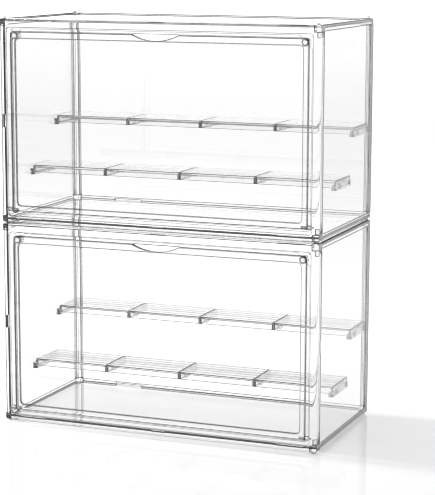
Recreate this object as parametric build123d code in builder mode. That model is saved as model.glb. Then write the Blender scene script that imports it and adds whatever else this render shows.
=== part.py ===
"""Two clear, front-opening stacking cases for shoes, one standing on the other.

Millimetres, +Z up, the door side faces -Y. The origin is the centre of the lower case's base.
Every piece is modelled once, for the lower case, and written twice: the upper case is the same
case raised by one stacking pitch.
"""

from build123d import *
import os

# ---------------------------------------------------------------- overall sizes of one case
case_width = 360.0
case_depth = 180.0
case_height = 218.0

# ---------------------------------------------------------------- feet and stacking
stack_gap = 1.5  # daylight between two stacked cases, and the height of a foot
stud_diameter = 3.0  # stud on a top corner, inside the foot of the next case
stud_height = 1.8
stud_rounding = 0.5
stud_clearance = 0.4  # all round and above the stud
foot_wall = 0.8  # a foot is a ring round the socket for a stud
foot_side_inset = 4.3  # foot and stud centre from the case's side
foot_depth_inset = 6.0  # and from its front or back

# ---------------------------------------------------------------- general fits
butt_gap = 0.1  # between panels and frames that meet edge to edge
tab_clearance = 0.2  # all round a snap tab in its slot
peg_clearance = 0.05  # radial, fixed peg in its socket
running_clearance = 0.05  # radial, hinge pin in the door
overrun = 1.0  # how far a web or a boss runs into the wall that carries it

# ---------------------------------------------------------------- panels and their rails
panel_thickness = 2.2
panel_inset = 1.1  # panels lie this far below the outer faces
rail_height = 6.5
rail_lip = 2.5  # outer part of a rail, beside the top and bottom panels
rail_reach = 5.0  # full depth of a rail, with the ledge that carries a panel
rail_rounding = 1.5  # outside edges of the rails
floor_seat = 2.0  # height of the ledge that carries the bottom panel
side_tab_length = 14.0
middle_tab_length = 15.0
end_tab_length = 30.0
end_tab_inset = 31.0  # from the case's side to the middle of an end tab
tab_reach = 3.5
tab_thickness = 1.4
vent_width = 33.0  # notch in the back panel's lower rail
vent_height = 5.0
vent_inset = 69.0  # middle of the notch from the case's left side

# ---------------------------------------------------------------- front frame
frame_depth = 12.0
upright_rounding = 4.5  # outside edges of its front face, at the sides
level_rounding = 1.5  # and along the top and bottom
bead_side = 8.0  # raised outer border of the frame
bead_top = 9.0
bead_bottom = 7.0
bead_radius = 3.5
flange_setback = 1.8
flange_side = 12.8  # from the outside to the door opening
flange_top = 13.1
flange_bottom = 12.0
opening_radius = 3.9  # top corners of the door opening
lip_width = 1.5  # stop behind the door's sides and top
lip_thickness = 1.6
hollow_side = 10.5  # the frame's rear part is this wide
hollow_top = 10.5
hollow_bottom = 9.5
hollow_radius = 4.0
gusset_leg = 15.0  # corner web that carries a magnet
gusset_thickness = 3.2

# ---------------------------------------------------------------- door
door_gap = 0.4  # round the door and behind it
door_recess = 0.4  # door face below the frame's front
door_thickness = 4.0
rim_side = 5.4
rim_top = 7.0
rim_bottom = 6.0
rim_radius = 4.5
door_corner_radius = 3.5
door_edge_rounding = 0.6
notch_width = 53.0
notch_height = 6.4

# ---------------------------------------------------------------- magnets and hinge
magnet_diameter = 6.0
door_magnet_length = 2.4
frame_magnet_length = 5.0
magnet_cover = 0.2  # each magnet lies this far below its face
magnet_boss_wall = 1.5
magnet_offset = 4.2  # magnet centre from the door's edges
pin_diameter = 2.4
pin_in_frame = 6.5
pin_in_door = 6.0
pin_boss_diameter = 4.6

# ---------------------------------------------------------------- rear posts and corner pieces
post_size = 9.0
post_wall = 4.4  # the posts are angles, open towards the inside
post_rounding = 1.5
groove_depth = 2.2
tongue_reach = 2.0
corner_height = 7.2
corner_width = 7.2  # front corner pieces only, the rear ones are as wide as the posts
corner_rounding = 2.4
corner_peg_diameter = 2.8
corner_peg_length = 6.0
front_peg_inset = 4.2
rear_peg_inset = 2.5

# ---------------------------------------------------------------- shelves
modules_per_shelf = 4
shelf_depth = 50.0
shelf_skirt_height = 8.0
shelf_plate_thickness = 1.8
shelf_skirt_thickness = 1.6
shelf_edge_rounding = 0.7
shelf_ribs = 4
rib_width = 1.2
rib_height = 2.5
module_gap = 0.4
rear_shelf_height = 105.0  # top of the shelf above the case's underside
front_shelf_height = 55.0
rear_shelf_clearance = 0.6  # to the rear posts
shelf_step_gap = 10.0  # from the front shelf's back edge to the rear shelf's front edge
clip_length = 8.0
clip_wall = 1.2
clip_clearance = 0.15
clip_places = (20.0, 41.0)  # from the shelf's front edge
bracket_wall = 1.8
bracket_shelf_gap = 0.6
bracket_ledge_reach = 6.0
bracket_ledge_thickness = 2.0
bracket_seat_gap = 0.2
bracket_upright_height = 6.5
bracket_nose_diameter = 5.0
bracket_nose_height = 4.0
bracket_nose_gap = 0.5
bracket_peg_diameter = 4.0
bracket_peg_inset = 6.0  # from the ends of the part under the shelf

# ---------------------------------------------------------------- worked out from the sizes above
foot_height = stack_gap
socket_diameter = stud_diameter + 2 * stud_clearance
socket_depth = stud_height + stud_clearance
foot_diameter = socket_diameter + 2 * foot_wall
stack_pitch = case_height + stack_gap
case_bottom = foot_height
case_top = case_bottom + case_height
case_middle = case_bottom + case_height / 2
right = case_width / 2
front = -case_depth / 2
back = case_depth / 2

frame_back = front + frame_depth
panel_outer = right - panel_inset
panel_inner = panel_outer - panel_thickness
back_panel_outer = back - panel_inset
back_panel_inner = back_panel_outer - panel_thickness
top_panel_top = case_top - panel_inset
top_panel_seat = top_panel_top - panel_thickness
bottom_panel_seat = case_bottom + floor_seat
bottom_panel_top = bottom_panel_seat + panel_thickness
panel_front = frame_back + butt_gap
post_front = back - post_size

door_half_width = right - flange_side - door_gap
door_front = front + door_recess
door_back = door_front + door_thickness
door_top = case_top - flange_top - door_gap
sill_top = case_bottom + flange_bottom
hinge_y = door_front + door_thickness / 2
hinge_z = sill_top + door_gap + door_thickness / 2
lip_front = door_back + door_gap
lip_back = lip_front + lip_thickness
notch_radius = (notch_width**2 / 4 + notch_height**2) / (2 * notch_height)
magnet_x = door_half_width - magnet_offset
magnet_z = door_top - magnet_offset

bracket_inner = panel_inner - bracket_wall
shelf_half_width = bracket_inner - bracket_shelf_gap
module_length = (2 * shelf_half_width - (modules_per_shelf - 1) * module_gap) / modules_per_shelf
bracket_length = shelf_depth - (post_size - post_wall)  # the rear brackets end at the posts
bracket_peg_places = (bracket_peg_inset, bracket_length - bracket_peg_inset)
rear_shelf_front = back - post_wall - rear_shelf_clearance - shelf_depth
front_shelf_front = rear_shelf_front - shelf_step_gap - shelf_depth

sides = {"left": -1, "right": 1}
shelves = {
    "rear": (rear_shelf_front, case_bottom + rear_shelf_height),
    "front": (front_shelf_front, case_bottom + front_shelf_height),
}
end_tab_place = right - end_tab_inset
front_tabs = (
    (-end_tab_place, end_tab_length),
    (0, middle_tab_length),
    (end_tab_place, end_tab_length),
)

os.makedirs("parts", exist_ok=True)


def write_piece(piece, name):
    """Writes the piece for the lower case and, one pitch higher, for the upper case."""
    for level, case in enumerate(("lower", "upper")):
        copy = piece.part.moved(Location((0, 0, level * stack_pitch)))
        copy.label = f"{case}_{name}"
        export_step(copy, f"parts/{case}_{name}.step")


def block(x0, x1, y0, y1, z0, z1, mode=Mode.ADD):
    """A box between two opposite corners, in the part being built."""
    with Locations(((x0 + x1) / 2, (y0 + y1) / 2, (z0 + z1) / 2)):
        Box(abs(x1 - x0), abs(y1 - y0), abs(z1 - z0), mode=mode)


def rod(start, axis, diameter, length, mode=Mode.ADD):
    """A round bar that starts at a point and runs along an axis, in the part being built."""
    with Locations(Plane(origin=start, z_dir=axis)):
        Cylinder(diameter / 2, length, align=(Align.CENTER, Align.CENTER, Align.MIN), mode=mode)


# ================================================================ front frame
# (depth from, depth to, side border, bottom border, top border, corner radius)
frame_steps = (
    (0, flange_setback, bead_side, bead_bottom, bead_top, bead_radius),
    (flange_setback, lip_front - front, flange_side, flange_bottom, flange_top, opening_radius),
    (
        lip_front - front,
        lip_back - front,
        flange_side + lip_width,
        flange_bottom,
        flange_top + lip_width,
        opening_radius,
    ),
    (lip_back - front, frame_depth, hollow_side, hollow_bottom, hollow_top, hollow_radius),
)
gusset_corner_x = right - hollow_side
gusset_corner_z = case_top - hollow_top

with BuildPart() as front_frame:
    block(-right, right, front, frame_back, case_bottom, case_top)
    fillet(front_frame.edges().filter_by(Axis.Z).group_by(Axis.Y)[0], upright_rounding)
    fillet(front_frame.edges().filter_by(Axis.X).group_by(Axis.Y)[0], level_rounding)
    for depth_from, depth_to, side, bottom, top, radius in frame_steps:
        with BuildSketch(Plane.XZ.offset(-front - depth_from)):
            with Locations((0, case_middle + (bottom - top) / 2)):
                RectangleRounded(case_width - 2 * side, case_height - bottom - top, radius)
        extrude(amount=-(depth_to - depth_from), mode=Mode.SUBTRACT)
    # the opening is square at the bottom, where the door's round edge turns
    block(
        flange_side - right,
        right - flange_side,
        front + flange_setback,
        lip_front,
        sill_top,
        sill_top + opening_radius,
        Mode.SUBTRACT,
    )
    # finger room: the stop lip is left out above the door's notch
    block(
        -notch_width / 2,
        notch_width / 2,
        lip_front,
        lip_back,
        door_top - notch_height,
        case_top - flange_top,
        Mode.SUBTRACT,
    )
    for side in sides.values():
        # corner web and boss for the magnet
        with BuildSketch(Plane.XZ.offset(-lip_front)):
            with BuildLine():
                Polyline(
                    (side * (gusset_corner_x + overrun), gusset_corner_z + overrun),
                    (side * (gusset_corner_x - gusset_leg), gusset_corner_z + overrun),
                    (side * (gusset_corner_x + overrun), gusset_corner_z - gusset_leg),
                    close=True,
                )
            make_face()
        extrude(amount=-gusset_thickness)
        rod(
            (side * magnet_x, lip_front, magnet_z),
            (0, 1, 0),
            magnet_diameter + 2 * magnet_boss_wall,
            frame_magnet_length + 2 * magnet_cover,
        )
        rod(
            (side * magnet_x, lip_front, magnet_z),
            (0, 1, 0),
            magnet_diameter + 2 * peg_clearance,
            frame_magnet_length + magnet_cover + peg_clearance,
            Mode.SUBTRACT,
        )
        # hinge boss and the hole for the pin
        rod(
            (side * (right - bead_side + overrun), hinge_y, hinge_z),
            (-side, 0, 0),
            pin_boss_diameter,
            flange_side - bead_side + overrun,
        )
        rod(
            (side * (right - flange_side), hinge_y, hinge_z),
            (side, 0, 0),
            pin_diameter + 2 * peg_clearance,
            pin_in_frame + peg_clearance,
            Mode.SUBTRACT,
        )
        # slot for the side panel's tab
        block(
            side * (panel_outer - (panel_thickness - tab_thickness) / 2 + tab_clearance),
            side * (panel_inner + (panel_thickness - tab_thickness) / 2 - tab_clearance),
            frame_back - tab_reach - tab_clearance,
            frame_back,
            case_middle - side_tab_length / 2 - tab_clearance,
            case_middle + side_tab_length / 2 + tab_clearance,
            Mode.SUBTRACT,
        )
        # seats and peg holes for the corner pieces
        for seat, upward in ((case_bottom, 1), (case_top, -1)):
            block(
                side * right,
                side * (right - corner_width - butt_gap),
                front,
                frame_back,
                seat,
                seat + upward * (corner_height + butt_gap),
                Mode.SUBTRACT,
            )
            rod(
                (side * (right - front_peg_inset), front + frame_depth / 2, seat),
                (0, 0, upward),
                corner_peg_diameter + 2 * peg_clearance,
                corner_height + corner_peg_length + butt_gap + peg_clearance,
                Mode.SUBTRACT,
            )
    # slots for the tabs of the top and bottom panels
    for tab_middle, tab_length in front_tabs:
        for panel_bottom in (bottom_panel_seat, top_panel_seat):
            tab_bottom = panel_bottom + (panel_thickness - tab_thickness) / 2
            block(
                tab_middle - tab_length / 2 - tab_clearance,
                tab_middle + tab_length / 2 + tab_clearance,
                frame_back - tab_reach - tab_clearance,
                frame_back,
                tab_bottom - tab_clearance,
                tab_bottom + tab_thickness + tab_clearance,
                Mode.SUBTRACT,
            )
write_piece(front_frame, "front_frame")

# ================================================================ door
window_width = 2 * (door_half_width - rim_side)
door_bottom = hinge_z - door_thickness / 2
window_bottom = door_bottom + rim_bottom
window_height = door_top - rim_top - window_bottom
window_depth = door_thickness - panel_thickness

with BuildPart() as door:
    block(-door_half_width, door_half_width, door_front, door_back, hinge_z, door_top)
    fillet(door.edges().filter_by(Axis.Y).group_by(Axis.Z)[-1], door_corner_radius)
    front_face = door.faces().sort_by(Axis.Y)[0]
    fillet(front_face.edges().sort_by(Axis.Z)[1:], door_edge_rounding)
    # the bottom edge is round about the hinge axis
    rod((-door_half_width, hinge_y, hinge_z), (1, 0, 0), door_thickness, 2 * door_half_width)
    # the window: the middle of the door is as thin as the other panels
    with BuildSketch(Plane.XZ.offset(-door_front)):
        with Locations((0, window_bottom + window_height / 2)):
            RectangleRounded(window_width, window_height, rim_radius)
    extrude(amount=-window_depth, mode=Mode.SUBTRACT)
    # finger notch in the top edge
    with BuildSketch(Plane.XZ.offset(-door_front)):
        with Locations((0, door_top - notch_height + notch_radius)):
            Circle(notch_radius)
    extrude(amount=-door_thickness, mode=Mode.SUBTRACT)
    for side in sides.values():
        rod(
            (side * magnet_x, door_back, magnet_z),
            (0, -1, 0),
            magnet_diameter + 2 * peg_clearance,
            door_magnet_length + magnet_cover + peg_clearance,
            Mode.SUBTRACT,
        )
        rod(
            (side * door_half_width, hinge_y, hinge_z),
            (-side, 0, 0),
            pin_diameter + 2 * running_clearance,
            pin_in_door + door_gap,
            Mode.SUBTRACT,
        )
write_piece(door, "door")

# ================================================================ magnets and hinge pins
with BuildPart() as door_magnets:
    for side in sides.values():
        start = (side * magnet_x, door_back - magnet_cover, magnet_z)
        rod(start, (0, -1, 0), magnet_diameter, door_magnet_length)
write_piece(door_magnets, "door_magnets")

with BuildPart() as frame_magnets:
    for side in sides.values():
        start = (side * magnet_x, lip_front + magnet_cover, magnet_z)
        rod(start, (0, 1, 0), magnet_diameter, frame_magnet_length)
write_piece(frame_magnets, "frame_magnets")

with BuildPart() as hinge_pins:
    for side in sides.values():
        start = (side * (right - flange_side + pin_in_frame), hinge_y, hinge_z)
        rod(start, (-side, 0, 0), pin_diameter, pin_in_frame + door_gap + pin_in_door)
write_piece(hinge_pins, "hinge_pins")

# ================================================================ top and bottom panels
for name, panel_bottom in (("top_panel", top_panel_seat), ("bottom_panel", bottom_panel_seat)):
    panel_top = panel_bottom + panel_thickness
    panel_half_width = right - rail_lip - butt_gap
    panel_back = back - rail_lip - butt_gap
    tab_bottom = panel_bottom + (panel_thickness - tab_thickness) / 2
    with BuildPart() as level_panel:
        block(-panel_half_width, panel_half_width, panel_front, panel_back, panel_bottom, panel_top)
        for side in sides.values():
            block(
                side * right,
                side * (right - post_size - butt_gap),
                post_front - butt_gap,
                back,
                panel_bottom,
                panel_top,
                Mode.SUBTRACT,
            )
        for tab_middle, tab_length in front_tabs:
            block(
                tab_middle - tab_length / 2,
                tab_middle + tab_length / 2,
                frame_back - tab_reach,
                panel_front,
                tab_bottom,
                tab_bottom + tab_thickness,
            )
    write_piece(level_panel, name)

# ================================================================ side panels
panel_end = post_front - butt_gap
for side_name, side in sides.items():
    with BuildPart() as side_panel:
        # the sheet, and its tongue in the post's groove
        block(
            side * panel_outer,
            side * panel_inner,
            panel_front,
            panel_end,
            bottom_panel_top + butt_gap,
            top_panel_seat,
        )
        block(
            side * panel_outer,
            side * panel_inner,
            panel_end,
            post_front + tongue_reach,
            case_bottom + corner_height + tab_clearance,
            case_top - corner_height - tab_clearance,
        )
        # rails, with the ledges that carry the top and bottom panels
        block(
            side * right,
            side * (right - rail_lip),
            panel_front,
            panel_end,
            case_bottom,
            case_bottom + rail_height,
        )
        block(
            side * right,
            side * (right - rail_reach),
            panel_front,
            panel_end,
            case_bottom,
            bottom_panel_seat,
        )
        block(
            side * right,
            side * (right - rail_lip),
            panel_front,
            panel_end,
            case_top - rail_height,
            case_top,
        )
        block(
            side * right,
            side * (right - rail_reach),
            panel_front,
            panel_end,
            case_top - rail_height,
            top_panel_seat,
        )
        outer_edges = side_panel.edges().filter_by(Axis.Y).group_by(Axis.X)[0 if side < 0 else -1]
        fillet(outer_edges.sort_by(Axis.Z)[0], rail_rounding)
        outer_edges = side_panel.edges().filter_by(Axis.Y).group_by(Axis.X)[0 if side < 0 else -1]
        fillet(outer_edges.sort_by(Axis.Z)[-1], rail_rounding)
        # front tab
        block(
            side * (panel_outer - (panel_thickness - tab_thickness) / 2),
            side * (panel_inner + (panel_thickness - tab_thickness) / 2),
            frame_back - tab_reach,
            panel_front,
            case_middle - side_tab_length / 2,
            case_middle + side_tab_length / 2,
        )
        # holes for the pegs of the shelf brackets
        for shelf_front, shelf_top in shelves.values():
            bracket_peg_z = shelf_top - shelf_skirt_height + bracket_nose_height / 2
            for place in bracket_peg_places:
                rod(
                    (side * panel_inner, shelf_front + place, bracket_peg_z),
                    (side, 0, 0),
                    bracket_peg_diameter + 2 * peg_clearance,
                    panel_thickness,
                    Mode.SUBTRACT,
                )
    write_piece(side_panel, f"{side_name}_side_panel")

# ================================================================ back panel
back_half_width = right - post_size - butt_gap
with BuildPart() as back_panel:
    block(
        -back_half_width,
        back_half_width,
        back_panel_inner,
        back_panel_outer,
        bottom_panel_top + butt_gap,
        top_panel_seat,
    )
    block(
        -back_half_width - butt_gap - tongue_reach,
        back_half_width + butt_gap + tongue_reach,
        back_panel_inner,
        back_panel_outer,
        case_bottom + corner_height + tab_clearance,
        case_top - corner_height - tab_clearance,
    )
    block(
        -back_half_width, back_half_width, back - rail_lip, back, case_bottom, case_bottom + rail_height
    )
    block(-back_half_width, back_half_width, back - rail_reach, back, case_bottom, bottom_panel_seat)
    block(-back_half_width, back_half_width, back - rail_lip, back, case_top - rail_height, case_top)
    block(
        -back_half_width,
        back_half_width,
        back - rail_reach,
        back,
        case_top - rail_height,
        top_panel_seat,
    )
    outer_edges = back_panel.edges().filter_by(Axis.X).group_by(Axis.Y)[-1]
    fillet(outer_edges.sort_by(Axis.Z)[0], rail_rounding)
    outer_edges = back_panel.edges().filter_by(Axis.X).group_by(Axis.Y)[-1]
    fillet(outer_edges.sort_by(Axis.Z)[-1], rail_rounding)
    block(
        vent_inset - right - vent_width / 2,
        vent_inset - right + vent_width / 2,
        back - rail_reach,
        back,
        case_bottom,
        case_bottom + vent_height,
        Mode.SUBTRACT,
    )
write_piece(back_panel, "back_panel")

# ================================================================ rear posts
post_bottom = case_bottom + corner_height + butt_gap
post_top = case_top - corner_height - butt_gap
for side_name, side in sides.items():
    with BuildPart() as rear_post:
        block(side * right, side * (right - post_size), post_front, back, post_bottom, post_top)
        outside = Vector(side * right, back, case_middle)
        uprights = rear_post.edges().filter_by(Axis.Z)
        fillet(uprights.sort_by_distance(outside)[0], post_rounding)
        block(
            side * (right - post_wall),
            side * (right - post_size),
            post_front,
            back - post_wall,
            post_bottom,
            post_top,
            Mode.SUBTRACT,
        )
        # grooves for the tongues of the side and back panels
        block(
            side * (panel_outer + tab_clearance / 2),
            side * (panel_inner - tab_clearance / 2),
            post_front,
            post_front + groove_depth,
            post_bottom,
            post_top,
            Mode.SUBTRACT,
        )
        block(
            side * (right - post_size),
            side * (right - post_size + groove_depth),
            back_panel_inner - tab_clearance / 2,
            back_panel_outer + tab_clearance / 2,
            post_bottom,
            post_top,
            Mode.SUBTRACT,
        )
        for end, inward in ((post_bottom, 1), (post_top, -1)):
            rod(
                (side * (right - rear_peg_inset), back - rear_peg_inset, end),
                (0, 0, inward),
                corner_peg_diameter + 2 * peg_clearance,
                corner_peg_length + peg_clearance,
                Mode.SUBTRACT,
            )
    write_piece(rear_post, f"rear_{side_name}_post")

# ================================================================ corner pieces
# (how far in from the side, front face, back face, peg's place in from the side, peg's y, foot's y)
corner_plans = (
    (corner_width, front, frame_back, front_peg_inset, front + frame_depth / 2, front + foot_depth_inset),
    (post_size, post_front, back, rear_peg_inset, back - rear_peg_inset, back - foot_depth_inset),
)
for name, outer_face, inward in (("bottom_corners", case_bottom, 1), ("top_corners", case_top, -1)):
    inner_face = outer_face + inward * corner_height
    with BuildPart() as corners:
        for side in sides.values():
            for width, corner_front, corner_back, peg_inset, peg_y, foot_y in corner_plans:
                rounded_y = front if corner_front == front else back
                with BuildPart(mode=Mode.PRIVATE) as corner:
                    block(
                        side * right,
                        side * (right - width),
                        corner_front,
                        corner_back,
                        outer_face,
                        inner_face,
                    )
                    tip = Vector(side * right, rounded_y, outer_face)
                    fillet(corner.edges().sort_by_distance(tip)[:3], corner_rounding)
                    rod(
                        (side * (right - peg_inset), peg_y, inner_face),
                        (0, 0, inward),
                        corner_peg_diameter,
                        corner_peg_length,
                    )
                    # a foot with its socket below the case, or the stud above it
                    foot_x = side * (right - foot_side_inset)
                    if inward > 0:
                        foot_bottom = (foot_x, foot_y, case_bottom - foot_height)
                        rod(foot_bottom, (0, 0, 1), foot_diameter, foot_height + overrun)
                        rod(foot_bottom, (0, 0, 1), socket_diameter, socket_depth, Mode.SUBTRACT)
                    else:
                        stud_start = (foot_x, foot_y, case_top - overrun)
                        rod(stud_start, (0, 0, 1), stud_diameter, stud_height + overrun)
                        rims = corner.edges().filter_by(GeomType.CIRCLE).sort_by(Axis.Z)
                        fillet(rims[-1], stud_rounding)
                add(corner.part)
    write_piece(corners, name)

# ================================================================ shelves
for shelf_name, (shelf_front, shelf_top) in shelves.items():
    shelf_back = shelf_front + shelf_depth
    skirt_bottom = shelf_top - shelf_skirt_height
    plate_bottom = shelf_top - shelf_plate_thickness

    # the modules: shallow upturned trays with ribs along their undersides
    for index in range(modules_per_shelf):
        module_left = -shelf_half_width + index * (module_length + module_gap)
        module_right = module_left + module_length
        with BuildPart() as shelf_module:
            block(module_left, module_right, shelf_front, shelf_back, skirt_bottom, shelf_top)
            fillet(shelf_module.faces().sort_by(Axis.Z)[-1].edges(), shelf_edge_rounding)
            block(
                module_left + shelf_skirt_thickness,
                module_right - shelf_skirt_thickness,
                shelf_front + shelf_skirt_thickness,
                shelf_back - shelf_skirt_thickness,
                skirt_bottom,
                plate_bottom,
                Mode.SUBTRACT,
            )
            for rib in range(shelf_ribs):
                rib_y = shelf_front + (rib + 1) * shelf_depth / (shelf_ribs + 1)
                block(
                    module_left + shelf_skirt_thickness / 2,
                    module_right - shelf_skirt_thickness / 2,
                    rib_y - rib_width / 2,
                    rib_y + rib_width / 2,
                    plate_bottom - rib_height,
                    plate_bottom,
                )
        write_piece(shelf_module, f"{shelf_name}_shelf_module_{index + 1}")

    # clips that straddle the skirts of two neighbouring modules from below
    clip_inside = 2 * shelf_skirt_thickness + module_gap + 2 * clip_clearance
    clip_top = plate_bottom - rib_height - clip_clearance
    clip_bottom = skirt_bottom - clip_wall - clip_clearance
    with BuildPart() as shelf_clips:
        for joint in range(1, modules_per_shelf):
            joint_x = -shelf_half_width + joint * (module_length + module_gap) - module_gap / 2
            clip_half = clip_inside / 2 + clip_wall
            for place in clip_places:
                clip_front = shelf_front + place - clip_length / 2
                clip_back = clip_front + clip_length
                block(
                    joint_x - clip_half, joint_x + clip_half, clip_front, clip_back, clip_bottom, clip_top
                )
                block(
                    joint_x - clip_inside / 2,
                    joint_x + clip_inside / 2,
                    clip_front,
                    clip_back,
                    clip_bottom + clip_wall,
                    clip_top,
                    Mode.SUBTRACT,
                )
    write_piece(shelf_clips, f"{shelf_name}_shelf_clips")

    # brackets on the side panels that carry the shelf's two ends
    seat = skirt_bottom - bracket_seat_gap
    ledge_bottom = seat - bracket_ledge_thickness
    nose_y = shelf_front - bracket_nose_gap - bracket_nose_diameter / 2
    bracket_peg_z = skirt_bottom + bracket_nose_height / 2
    with BuildPart() as shelf_brackets:
        for side in sides.values():
            nose_x = side * (panel_inner - butt_gap - bracket_nose_diameter / 2)
            block(
                side * (panel_inner - butt_gap),
                side * bracket_inner,
                nose_y,
                shelf_front + bracket_length,
                ledge_bottom,
                ledge_bottom + bracket_upright_height,
            )
            block(
                side * (panel_inner - butt_gap),
                side * (panel_inner - butt_gap - bracket_ledge_reach),
                nose_y,
                shelf_front + bracket_length,
                ledge_bottom,
                seat,
            )
            rod(
                (nose_x, nose_y, ledge_bottom),
                (0, 0, 1),
                bracket_nose_diameter,
                bracket_ledge_thickness + bracket_nose_height,
            )
            for place in bracket_peg_places:
                rod(
                    (side * bracket_inner, shelf_front + place, bracket_peg_z),
                    (side, 0, 0),
                    bracket_peg_diameter,
                    bracket_wall + panel_thickness,
                )
    write_piece(shelf_brackets, f"{shelf_name}_shelf_brackets")
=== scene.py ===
"""Looks for two stacked clear display cases: clear plastics, magnets, hinge pins, floor, light and camera."""

import math

import bpy
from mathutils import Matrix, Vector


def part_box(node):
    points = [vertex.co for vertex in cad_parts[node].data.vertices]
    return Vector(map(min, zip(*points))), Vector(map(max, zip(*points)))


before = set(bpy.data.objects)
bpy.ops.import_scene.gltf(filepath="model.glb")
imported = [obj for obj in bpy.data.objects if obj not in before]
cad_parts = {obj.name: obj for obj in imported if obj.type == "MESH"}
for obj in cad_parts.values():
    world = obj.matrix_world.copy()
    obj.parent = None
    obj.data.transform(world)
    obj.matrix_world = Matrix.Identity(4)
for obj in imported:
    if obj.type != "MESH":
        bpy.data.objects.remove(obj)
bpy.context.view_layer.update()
bpy.ops.object.select_all(action="DESELECT")

# ---------------------------------------------------------------- values, metres and degrees
plastic_ior = 1.49
plastic_haze = (0.002, 0.010)
haze_grain = 160.0
ripple_grain = 45.0
ripple_depth = 0.001
polish_grain = 400.0

# painted shade: an edge gets a dark line, in place of the darkness its refraction would show, where the
# rounded normal leans away from the flat one by these cosines
line_starts = 0.998
line_full = 0.95
bevel_samples = 4

# edges that butt against a neighbour, where the panels meet the front frames, get less of the painted edge
# shade
seam_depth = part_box("lower_front_frame")[1][1]
seam_reach = 0.004
seam_end = 1.5 * seam_reach
butted_share = 0.15

floor_half_width = 14.0
floor_grey = 0.885
floor_roughness = (0.006, 0.012)
floor_grain = 6.0
floor_ior = 1.38

# height on the sky, from 0 at the horizon to 1 overhead, and how bright it is there:
# white round the horizon, a dimmer band above it and a broad pale ceiling
sky_levels = ((0.0, 1.0), (0.22, 1.0), (0.34, 0.25), (0.62, 0.25), (0.78, 0.58))
sky_strength = 1.35

lamp_angle = math.radians(58)
lamp_distance = 2.2
lamp_length = 1.8
lamp_width = 0.06
lamp_power = 44.0

camera_place = (0.7428, -1.7882, 0.5197)
camera_tilt = 80.35
camera_roll = -0.16
camera_turn = 21.63
camera_lens = 130.79
camera_reach = 60.0


# ---------------------------------------------------------------- building materials
def new_material(name):
    """An empty node material and its output node."""
    material = bpy.data.materials.new(name)
    material.use_nodes = True
    material.node_tree.nodes.clear()
    return material, material.node_tree.nodes.new("ShaderNodeOutputMaterial")


def add(material, kind, **sockets):
    """A node whose named sockets are set to numbers or linked to other nodes' outputs."""
    node = material.node_tree.nodes.new(kind)
    for name, value in sockets.items():
        fill(material, node.inputs[name.replace("_", " ")], value)
    return node


def fill(material, socket, value):
    if isinstance(value, bpy.types.NodeSocket):
        material.node_tree.links.new(value, socket)
    else:
        socket.default_value = value


def maths(material, operation, first, second):
    """One step of arithmetic. An absolute value takes no notice of the second number."""
    node = add(material, "ShaderNodeMath")
    node.operation = operation
    fill(material, node.inputs[0], first)
    fill(material, node.inputs[1], second)
    return node.outputs[0]


def place(material):
    """Where a point lies on the piece."""
    return add(material, "ShaderNodeTexCoord").outputs["Object"]


def noise(material, scale, detail=3.0, stretch=(1, 1, 1)):
    """Soft noise on the piece's own place, stretched along its axes."""
    spread = add(material, "ShaderNodeMapping", Vector=place(material), Scale=stretch)
    cloud = add(material, "ShaderNodeTexNoise", Vector=spread.outputs["Vector"], Scale=scale, Detail=detail)
    return cloud.outputs["Fac"]


def ranged(material, value, to, start=(0.0, 1.0)):
    """A value taken from one range to another, and held at its ends."""
    node = add(
        material,
        "ShaderNodeMapRange",
        Value=value,
        From_Min=start[0],
        From_Max=start[1],
        To_Min=to[0],
        To_Max=to[1],
    )
    return node.outputs["Result"]


def painted_edge_mask(material, width):
    """Where dark shade is painted: 0 on the flats of a piece and 1 on its edges, but little on edges that
    butt against the frame.
    """
    rounded = add(material, "ShaderNodeBevel", Radius=width)
    rounded.samples = bevel_samples
    flat = add(material, "ShaderNodeNewGeometry").outputs["Normal"]
    lean = add(material, "ShaderNodeVectorMath")
    lean.operation = "DOT_PRODUCT"
    fill(material, lean.inputs[0], rounded.outputs["Normal"])
    fill(material, lean.inputs[1], flat)
    depth = add(material, "ShaderNodeSeparateXYZ", Vector=place(material)).outputs["Y"]
    to_seam = maths(material, "ABSOLUTE", maths(material, "SUBTRACT", depth, seam_depth), 0.0)
    most = ranged(material, to_seam, (butted_share, 1.0), (seam_reach, seam_end))
    return ranged(material, lean.outputs["Value"], (0.0, most), (line_starts, line_full))


def mixed_grey(material, share, first, second):
    """One grey where the share is 0 and another where it is 1. A grey may be another mix."""
    mix = add(material, "ShaderNodeMix")
    mix.data_type = "RGBA"
    fill(material, mix.inputs[0], share)
    for socket, grey in ((mix.inputs[6], first), (mix.inputs[7], second)):
        mixed = isinstance(grey, bpy.types.NodeSocket)
        fill(material, socket, grey if mixed else (grey, grey, grey, 1.0))
    return mix.outputs[2]


def mixed_shader(material, share, first, second):
    node = add(material, "ShaderNodeMixShader")
    for socket, value in zip(node.inputs, (share, first, second)):
        fill(material, socket, value)
    return node.outputs["Shader"]


def show(material, output, shader):
    material.node_tree.links.new(shader, output.inputs["Surface"])


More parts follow.
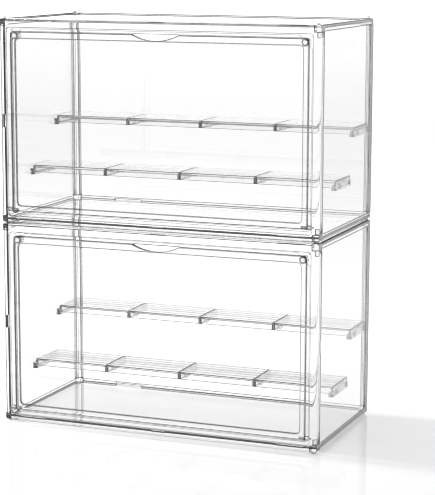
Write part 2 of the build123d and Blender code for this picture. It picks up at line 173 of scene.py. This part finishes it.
# ---------------------------------------------------------------- plastics and metals
def clear_plastic(name, tint, painted_edge_shade, edge_width, inner_mirror, ripple, lamp_share):
    """Clear moulded plastic: faintly rippled, with a trace of haze, and with dark shade painted along its
    edges.

    tint is what goes through at each face. The edge grey is painted shade: along each edge it darkens what
    goes through and what a face gives back inside, in place of the dark lines that refraction draws there.
    inner_mirror is what a face gives back to light inside the plastic, and lamp_share is what a face lets
    through to the floor.
    """
    material, output = new_material(name)
    swell = noise(material, ripple_grain, 2.0)
    bump = add(material, "ShaderNodeBump", Height=swell, Strength=ripple, Distance=ripple_depth)
    skin = bump.outputs["Normal"]
    haze = ranged(material, noise(material, haze_grain, 4.0), plastic_haze)
    edge = painted_edge_mask(material, edge_width)
    # painted shade: the light going through is darkened along the edges
    through = add(
        material,
        "ShaderNodeBsdfRefraction",
        Color=mixed_grey(material, edge, tint, painted_edge_shade),
        Roughness=haze,
        IOR=plastic_ior,
        Normal=skin,
    )
    inside = add(material, "ShaderNodeNewGeometry").outputs["Backfacing"]
    # painted shade also on the light mirrored inside the plastic along its edges
    inner = mixed_grey(material, edge, inner_mirror, painted_edge_shade)
    gloss = add(
        material,
        "ShaderNodeBsdfAnisotropic",
        Color=mixed_grey(material, inside, 1.0, inner),
        Roughness=haze,
        Normal=skin,
    )
    share = add(material, "ShaderNodeFresnel", IOR=plastic_ior, Normal=skin).outputs[0]
    plastic = mixed_shader(material, share, through.outputs["BSDF"], gloss.outputs["BSDF"])

    # the floor's light and the lamp's pass straight through
    passing = add(material, "ShaderNodeBsdfTransparent", Color=(lamp_share, lamp_share, lamp_share, 1.0))
    rays = add(material, "ShaderNodeLightPath").outputs
    lit = mixed_shader(material, rays["Is Diffuse Ray"], plastic, passing.outputs["BSDF"])
    show(material, output, mixed_shader(material, rays["Is Shadow Ray"], lit, passing.outputs["BSDF"]))
    return material


def metal(name, colour, roughness, stretch=(1, 1, 1)):
    """Bare metal whose polish varies a little, in streaks if the noise is stretched."""
    material, output = new_material(name)
    skin = add(
        material,
        "ShaderNodeBsdfPrincipled",
        Base_Color=(*colour, 1.0),
        Metallic=1.0,
        Roughness=ranged(material, noise(material, polish_grain, 3.0, stretch), roughness),
    )
    show(material, output, skin.outputs["BSDF"])
    return material


# the edge greys below are painted edge shade: black on the doors, lighter on the shelves and clips
frame_plastic = clear_plastic(
    "clear_frame_plastic",
    tint=0.998,
    painted_edge_shade=0.02,
    edge_width=0.0010,
    inner_mirror=0.90,
    ripple=0.015,
    lamp_share=0.96,
)
sheet_plastic = clear_plastic(
    "clear_sheet_plastic",
    tint=0.98,
    painted_edge_shade=0.08,
    edge_width=0.0013,
    inner_mirror=0.985,
    ripple=0.015,
    lamp_share=0.995,
)
# painted shade: the side panels are the same clear sheet, given this greyer copy of its plastic so that they
# look darker; it also lets less of the lamp's light through, which deepens the shadow they cast on the floor
shaded_side_plastic = clear_plastic(
    "clear_side_plastic",
    tint=0.95,
    painted_edge_shade=0.02,
    edge_width=0.0013,
    inner_mirror=0.985,
    ripple=0.015,
    lamp_share=0.80,
)
door_plastic = clear_plastic(
    "clear_door_plastic",
    tint=0.998,
    painted_edge_shade=0.0,
    edge_width=0.0017,
    inner_mirror=0.85,
    ripple=0.015,
    lamp_share=0.995,
)
shelf_plastic = clear_plastic(
    "clear_shelf_plastic",
    tint=0.95,
    painted_edge_shade=0.40,
    edge_width=0.0013,
    inner_mirror=0.96,
    ripple=0.03,
    lamp_share=0.97,
)
clip_plastic = clear_plastic(
    "clear_clip_plastic",
    tint=0.985,
    painted_edge_shade=0.70,
    edge_width=0.0008,
    inner_mirror=0.985,
    ripple=0.03,
    lamp_share=0.97,
)
nickel = metal("magnet_nickel_plate", (0.86, 0.86, 0.85), (0.12, 0.25))
steel = metal("hinge_pin_steel", (0.78, 0.78, 0.79), (0.15, 0.35), stretch=(0.2, 4, 4))

# the first words found in a node's name give its finish
finishes = (
    ("magnet", nickel),
    ("hinge_pins", steel),
    ("door", door_plastic),
    ("clips", clip_plastic),
    ("shelf", shelf_plastic),
    ("side_panel", shaded_side_plastic),
    ("panel", sheet_plastic),
    ("frame", frame_plastic),
    ("post", frame_plastic),
    ("corners", frame_plastic),
)
for node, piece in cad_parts.items():
    finish = next(finish for words, finish in finishes if words in node)
    piece.data.materials.clear()
    piece.data.materials.append(finish)

# ---------------------------------------------------------------- floor
bpy.ops.mesh.primitive_plane_add(size=2 * floor_half_width, location=(0, 0, 0))
floor = bpy.context.object
floor.name = "pale_floor"
floor_finish, floor_output = new_material("pale_floor_finish")
floor_skin = add(
    floor_finish,
    "ShaderNodeBsdfPrincipled",
    Base_Color=(floor_grey, floor_grey, floor_grey, 1.0),
    Roughness=ranged(floor_finish, noise(floor_finish, floor_grain, 2.0), floor_roughness),
    IOR=floor_ior,
)
show(floor_finish, floor_output, floor_skin.outputs["BSDF"])
floor.data.materials.append(floor_finish)

# ---------------------------------------------------------------- light
scene = bpy.context.scene
room = bpy.data.worlds.new("studio")
scene.world = room
room.use_nodes = True
room.cycles.sampling_method = "NONE"
sky = room.node_tree.nodes["Background"]
sky.inputs["Color"].default_value = (1, 1, 1, 1)
aim = add(room, "ShaderNodeTexCoord").outputs["Generated"]
height = add(room, "ShaderNodeSeparateXYZ", Vector=aim).outputs["Z"]
bands = add(room, "ShaderNodeValToRGB", Fac=height)
for step, (stop_height, level) in enumerate(sky_levels):
    stops = bands.color_ramp.elements
    stop = stops[step] if step < len(stops) else stops.new(stop_height)
    stop.position = stop_height
    stop.color = (level, level, level, 1.0)
fill(room, sky.inputs["Strength"], ranged(room, bands.outputs["Color"], (0.0, sky_strength)))

bpy.ops.object.light_add(
    type="AREA",
    location=(-lamp_distance * math.cos(lamp_angle), 0.0, lamp_distance * math.sin(lamp_angle)),
    rotation=(0, lamp_angle - math.pi / 2, 0),
)
side_lamp = bpy.context.object
side_lamp.name = "side_lamp"
side_lamp.data.shape = "RECTANGLE"
side_lamp.data.size = lamp_length
side_lamp.data.size_y = lamp_width
side_lamp.data.energy = lamp_power
side_lamp.visible_transmission = False

# ---------------------------------------------------------------- camera
bpy.ops.object.camera_add(
    location=camera_place,
    rotation=(math.radians(camera_tilt), math.radians(camera_roll), math.radians(camera_turn)),
)
camera = bpy.context.object
camera.data.lens = camera_lens
camera.data.sensor_width = 36.0
camera.data.clip_end = camera_reach
scene.camera = camera

# light goes through many clear walls before it leaves the cases
scene.view_settings.view_transform = "Standard"
scene.cycles.filter_width = 1.0
scene.cycles.max_bounces = 64
scene.cycles.transmission_bounces = 48
scene.cycles.glossy_bounces = 6
scene.cycles.diffuse_bounces = 3
scene.cycles.transparent_max_bounces = 64
